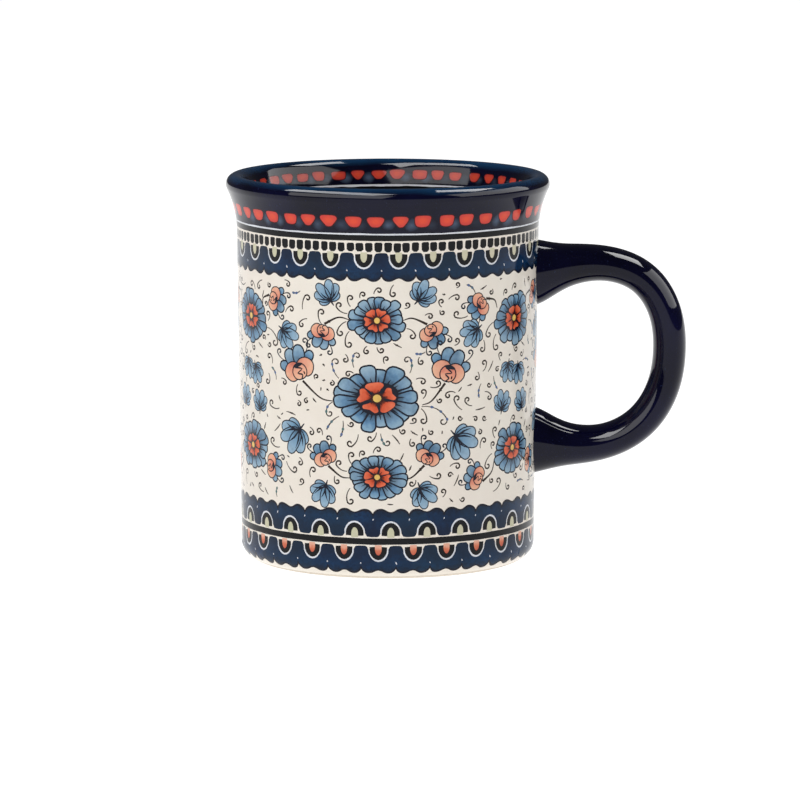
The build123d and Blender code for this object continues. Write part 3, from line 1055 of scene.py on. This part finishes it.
WASHES = {
    "petal": petal_wash, "leaf": leaf_wash, "coral": coral_wash, "pink": pink_wash, "navy": navy_wash,
    "smudge": smudge_wash, "dot": dot_wash, "teal": teal_wash, "sage": sage_wash, "rust": rust_wash,
    "ground": ground_wash,
}


def paint_material(paint):
    """The finish of one paint under its glaze, made once."""
    name = "paint_" + paint
    found = bpy.data.materials.get(name)
    if found:
        return found
    if paint == "cobalt":
        return cobalt_finish(name)
    gloss = COBALT_GLOSS if paint in ("dot", "smudge") else CLEAR_GLOSS
    material, tree, shader, place_of = new_finish(name, 0.075, 0.03, gloss)
    base = tuple(getattr(bpy.context.scene.mug_colours, paint))
    body = WASHES.get(paint, plain_wash)(tree, Spot(tree, place_of), base)
    tree.links.new(body, shader.inputs["Base Color"])
    return material


def cobalt_finish(name):
    """Dark cobalt glaze, clouded and flecked, and bluer on the crest of the lip, where it is thin; this paler
    crest is also a painted highlight.
    """
    base = tuple(bpy.context.scene.mug_colours.cobalt)
    material, tree, shader, place_of = new_finish(name, 0.05, 0.03, COBALT_GLOSS)
    cloud = noise(tree, place_of, 55.0, 4.0)
    body = blended(tree, mapped(tree, cloud, 0.0, 1.0), scaled(base, 0.6), scaled(base, 1.9))
    fleck = noise(tree, place_of, 1500.0, 2.0)
    body = blended(tree, mapped(tree, fleck, 0.0, 0.5, 0.66, 0.78), body, COBALT_FLECK)
    # the lip's crest, found by height, turns paler blue: partly the glaze thinning there, partly a painted
    # highlight
    parts = tree.nodes.new("ShaderNodeSeparateXYZ")
    tree.links.new(place_of, parts.inputs[0])
    wave = mapped(tree, noise(tree, place_of, 60.0, 2.0), -0.5 * MM, 0.5 * MM)
    crest = mapped(tree, maths(tree, "ADD", parts.outputs[2], wave), 0.0, 0.8,
                   (HEIGHT - 1.6) * MM, (HEIGHT - 0.1) * MM)
    body = blended(tree, crest, body, COBALT_THIN_AND_HIGHLIGHT)
    tree.links.new(body, shader.inputs["Base Color"])
    return material


def clear_finish(name, lined):
    """Clear glaze over cream clay. If lined, a black band and a wavy white line run below the cobalt."""
    colours = bpy.context.scene.mug_colours
    material, tree, shader, place_of = new_finish(name, 0.07, 0.03, CLEAR_GLOSS)
    cloud = noise(tree, place_of, 60.0, 4.0)
    body = blended(tree, mapped(tree, cloud, 0.0, 0.7), tuple(colours.ground), CLEAR_WARM)
    fleck = mapped(tree, noise(tree, place_of, 1700.0, 2.0), 0.0, 0.4, 0.70, 0.80)
    body = blended(tree, fleck, body, CLEAR_FLECK)
    if lined:
        parts = tree.nodes.new("ShaderNodeSeparateXYZ")
        tree.links.new(place_of, parts.inputs[0])
        wave = mapped(tree, noise(tree, place_of, 140.0, 2.0), -0.18 * MM, 0.18 * MM)
        level = maths(tree, "ADD", parts.outputs[2], wave)
        for drop, colour in ((2.15, tuple(colours.black)), (0.55, tuple(colours.white))):
            line = (INSIDE_LINE - drop) * MM
            share = mapped(tree, level, 0.0, 1.0, line - 0.03 * MM, line + 0.03 * MM)
            body = blended(tree, share, body, colour)
    tree.links.new(body, shader.inputs["Base Color"])
    return material


def clay_finish(name, colour):
    """Bare fired stoneware: matt, gritty and flecked."""
    material, tree, shader, place_of = new_finish(name, 0.8, 0.3, 0.3)
    grit = noise(tree, place_of, 1900.0, 4.0)
    body = blended(tree, mapped(tree, grit, 0.0, 1.0), colour, scaled(colour, 0.8))
    fleck = mapped(tree, noise(tree, place_of, 900.0, 1.0), 0.0, 1.0, 0.70, 0.76)
    body = blended(tree, fleck, body, CLAY_FLECK)
    tree.links.new(body, shader.inputs["Base Color"])
    return material


def refinish(node, material):
    """Gives a CAD node a finish in every one of its slots."""
    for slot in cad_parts[node].material_slots:
        slot.material = material


# ---------------------------------------------------------------- what a user would change
def colour_property(name, default):
    """A colour that the sidebar shows."""
    return FloatVectorProperty(name=name, description=f"Colour of the {name.lower()}", subtype="COLOR",
                               size=3, min=0.0, max=1.0, default=default)


def count_property(name, description, default):
    """How many of something stand in a row right round the cup."""
    return IntProperty(name=name, description=description, default=default, min=6)


class MugColours(bpy.types.PropertyGroup):
    """Colours of the clay, glazes and paints."""
    ground: colour_property("Cream ground", (0.88, 0.83, 0.74))
    petal: colour_property("Petal blue", (0.105, 0.24, 0.41))
    leaf: colour_property("Leaf blue", (0.17, 0.33, 0.50))
    ink: colour_property("Ink outline", (0.007, 0.009, 0.020))
    sepia: colour_property("Sepia brushwork", (0.032, 0.020, 0.015))
    coral: colour_property("Coral petals", (0.60, 0.078, 0.028))
    maroon: colour_property("Maroon", (0.045, 0.008, 0.006))
    yellow: colour_property("Yellow eye", (0.86, 0.53, 0.14))
    pink: colour_property("Pink bulb", (0.84, 0.44, 0.29))
    navy: colour_property("Navy scallops", (0.004, 0.018, 0.060))
    black: colour_property("Black bands", (0.004, 0.0045, 0.006))
    white: colour_property("White lines", (0.76, 0.79, 0.86))
    sage: colour_property("Sage tongues", (0.58, 0.575, 0.39))
    rust: colour_property("Rust tongues", (0.68, 0.19, 0.10))
    teal: colour_property("Teal beads", (0.085, 0.16, 0.155))
    dot: colour_property("Rim dots", (0.72, 0.075, 0.036))
    smudge: colour_property("Blue smudges", (0.075, 0.11, 0.18))
    cobalt: colour_property("Cobalt glaze", (0.0018, 0.0018, 0.0125))
    clay: colour_property("Bare clay", (0.74, 0.66, 0.56))


class MugSizes(bpy.types.PropertyGroup):
    """Counts and gaps of the painting."""
    squares: count_property("Squares", "Squares in the row under the black band", 104)
    upper_scallops: count_property("Upper scallops", "Scallops under the squares", 28)
    lower_scallops: count_property("Lower scallops", "Scallops below the flowers", 26)
    foot_scallops: count_property("Foot scallops", "Scallops above the foot", 27)
    rim_dots: count_property("Rim dots", "Dots round the rim, outside and inside", 42)
    curl_gap: FloatProperty(name="Curl gap", description="Bare ground left round each curl, in mm",
                            default=1.0, min=0.3, max=5.0)
    hand: IntProperty(name="Hand", default=7,
                      description="Number that starts the painter's small differences")


# ---------------------------------------------------------------- the pieces
class MUG_OT_painted_wall(bpy.types.Operator):
    """Paint the wall, from the cobalt line to the foot, and inlay it in the clear glaze"""
    bl_idname = "mug.painted_wall"
    bl_label = "Painted wall"

    def execute(self, context):
        sizes = context.scene.mug_sizes
        painting = Painting(sizes.hand)
        paint_bands(painting, sizes)
        paint_field(painting, sizes.curl_gap)
        foot = np.linspace(GLAZE_LINE, FOOT_CURVE_HEIGHT, 9)
        wall = np.linspace(FOOT_CURVE_HEIGHT, FLARE_START, 26)[1:]
        flare = np.linspace(FLARE_START, COBALT_LINE, 5)[1:]
        skin = inlaid_skin("painted_wall", painting.marks, wall_outline, [*foot, *wall, *flare], "ground")
        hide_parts("outside_glaze")
        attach(skin, "root")
        return {"FINISHED"}


class MUG_OT_rim_coat(bpy.types.Operator):
    """Glaze the rim cobalt, over the lip and down inside, with its two rows of dots"""
    bl_idname = "mug.rim_coat"
    bl_label = "Cobalt rim"

    def execute(self, context):
        sizes = context.scene.mug_sizes
        painting = Painting(sizes.hand + 1)
        paint_rim(painting, sizes.rim_dots)
        lip_end = OUTER_ARC + LIP_ARC
        outside = np.linspace(0, OUTER_ARC, 9)
        lip = np.linspace(OUTER_ARC, lip_end, 17)[1:]
        inside = np.linspace(lip_end, RIM_LENGTH, 6)[1:]
        skin = inlaid_skin("rim_coat", painting.marks, rim_outline, [*outside, *lip, *inside], "cobalt")
        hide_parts("rim_cobalt_glaze")
        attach(skin, "root")
        return {"FINISHED"}


class MUG_OT_plain_glazes(bpy.types.Operator):
    """Glaze the handle cobalt, and the inside and the underside clear"""
    bl_idname = "mug.plain_glazes"
    bl_label = "Handle, inside and underside glazes"

    def execute(self, context):
        refinish("handle_cobalt_glaze", cobalt_finish("handle_cobalt"))
        refinish("inside_glaze", clear_finish("inside_clear", True))
        refinish("underside_glaze", clear_finish("underside_clear", False))
        return {"FINISHED"}


class MUG_OT_clay(bpy.types.Operator):
    """Leave the body, the handle and the two slip joints as bare fired clay"""
    bl_idname = "mug.clay"
    bl_label = "Bare clay"

    def execute(self, context):
        clay = tuple(context.scene.mug_colours.clay)
        body = clay_finish("stoneware", clay)
        slip = clay_finish("slip", scaled(clay, 0.85))
        refinish("clay_body", body)
        refinish("handle", body)
        refinish("upper_slip_joint", slip)
        refinish("lower_slip_joint", slip)
        return {"FINISHED"}


# ---------------------------------------------------------------- the studio (m)
AIM = Vector((0, 0, 0.054))
CAMERA_DISTANCE = 1.4
CAMERA_ELEVATION = 8.05
CAMERA_LENS = 218.4
CAMERA_SHIFT = (0.0153, -0.0375)
FLOOR_SIZE = 12.0
FLOOR_BASE = 0.3           # how much of the lamps' light the floor sends back
FLOOR_GLOW = 0.98          # the floor is a table lit from below, so the mug casts hardly any shadow
ROOM = (0.07, 0.07, 0.075)  # what the dim room round the table sends back
PANELS = (                 # name, degrees to the right of the front, degrees up, width and height, brightness
    ("left_window", -38, 28, (1.8, 0.75), 4.0),
    ("right_window", 86, 28, (1.7, 0.75), 4.0),
    ("left_strip", -54, 62, (1.5, 0.5), 15.0),
    ("right_strip", 106, 62, (0.6, 0.5), 15.0),
)
LAMPS = (                  # the same for the soft lamps, which light the mug and aren't mirrored in the glaze
    ("key_lamp", -60, 35, (1.2, 1.0), 1.8),
    ("front_lamp", 0, 50, (1.2, 1.0), 1.0),
    ("fill_lamp", 60, 35, (1.2, 1.0), 0.8),
    ("back_lamp", 180, 45, (1.6, 1.0), 1.2),
)
PANEL_DISTANCE = 1.3


def light_panel(name, bearing, elevation, size, brightness, mirrored):
    """A flat panel of light that faces the mug, either seen in the glaze or lighting it."""
    turn, up = math.radians(bearing), math.radians(elevation)
    way = Vector((math.sin(turn) * math.cos(up), -math.cos(turn) * math.cos(up), math.sin(up)))
    bpy.ops.object.light_add(type="AREA", location=AIM + way * PANEL_DISTANCE)
    lamp = bpy.context.active_object
    lamp.name = name
    lamp.visible_camera = False
    lamp.visible_glossy = mirrored
    lamp.visible_diffuse = not mirrored
    lamp.data.shape = "RECTANGLE"
    lamp.data.size, lamp.data.size_y = size
    lamp.data.energy = brightness * math.pi * size[0] * size[1]
    lamp.rotation_euler = way.to_track_quat("Z", "Y").to_euler()


class MUG_OT_studio(bpy.types.Operator):
    """Set a glowing pale floor, soft panels of light and the camera"""
    bl_idname = "mug.studio"
    bl_label = "Studio"

    def execute(self, context):
        scene = context.scene
        bpy.ops.object.select_all(action="DESELECT")
        bpy.ops.mesh.primitive_plane_add(size=FLOOR_SIZE, location=(0, 0, 0))
        floor = context.active_object
        floor.name = "floor"
        white = bpy.data.materials.new("floor_white")
        white.use_nodes = True
        shader = white.node_tree.nodes["Principled BSDF"]
        shader.inputs["Base Color"].default_value = (FLOOR_BASE, FLOOR_BASE, FLOOR_BASE, 1)
        shader.inputs["Roughness"].default_value = 1.0
        shader.inputs["Specular IOR Level"].default_value = 0.0
        shader.inputs["Emission Color"].default_value = (1, 1, 1, 1)
        shader.inputs["Emission Strength"].default_value = FLOOR_GLOW
        floor.data.materials.append(white)
        for panel in PANELS:
            light_panel(*panel, mirrored=True)
        for lamp in LAMPS:
            light_panel(*lamp, mirrored=False)
        world = bpy.data.worlds.new("studio")
        scene.world = world
        world.use_nodes = True
        world.node_tree.nodes["Background"].inputs["Color"].default_value = (*ROOM, 1)
        angle = math.radians(CAMERA_ELEVATION)
        bpy.ops.object.camera_add(
            location=AIM + CAMERA_DISTANCE * Vector((0, -math.cos(angle), math.sin(angle))),
            rotation=(math.pi / 2 - angle, 0, 0))
        camera = context.active_object
        camera.data.lens = CAMERA_LENS
        camera.data.shift_x, camera.data.shift_y = CAMERA_SHIFT
        scene.camera = camera
        scene.view_settings.view_transform = "Standard"
        return {"FINISHED"}


class MUG_PT_sidebar(bpy.types.Panel):
    """Sizes, colours and steps of the mug."""
    bl_label = "Painted mug"
    bl_idname = "MUG_PT_sidebar"
    bl_space_type = "VIEW_3D"
    bl_region_type = "UI"
    bl_category = "Mug"

    def draw(self, context):
        for group in (context.scene.mug_sizes, context.scene.mug_colours):
            for name in group.__annotations__:
                self.layout.prop(group, name)
        for step in STEPS:
            self.layout.operator(step.bl_idname)


STEPS = (MUG_OT_painted_wall, MUG_OT_rim_coat, MUG_OT_plain_glazes, MUG_OT_clay, MUG_OT_studio)
CLASSES = (MugColours, MugSizes, *STEPS, MUG_PT_sidebar)


def register():
    for each in CLASSES:
        bpy.utils.register_class(each)
    bpy.types.Scene.mug_colours = PointerProperty(type=MugColours)
    bpy.types.Scene.mug_sizes = PointerProperty(type=MugSizes)


def unregister():
    del bpy.types.Scene.mug_sizes
    del bpy.types.Scene.mug_colours
    for each in reversed(CLASSES):
        bpy.utils.unregister_class(each)


def main():
    register()
    bpy.ops.mug.painted_wall()
    bpy.ops.mug.rim_coat()
    bpy.ops.mug.plain_glazes()
    bpy.ops.mug.clay()
    bpy.ops.mug.studio()


if __name__ == "__main__":
    main()
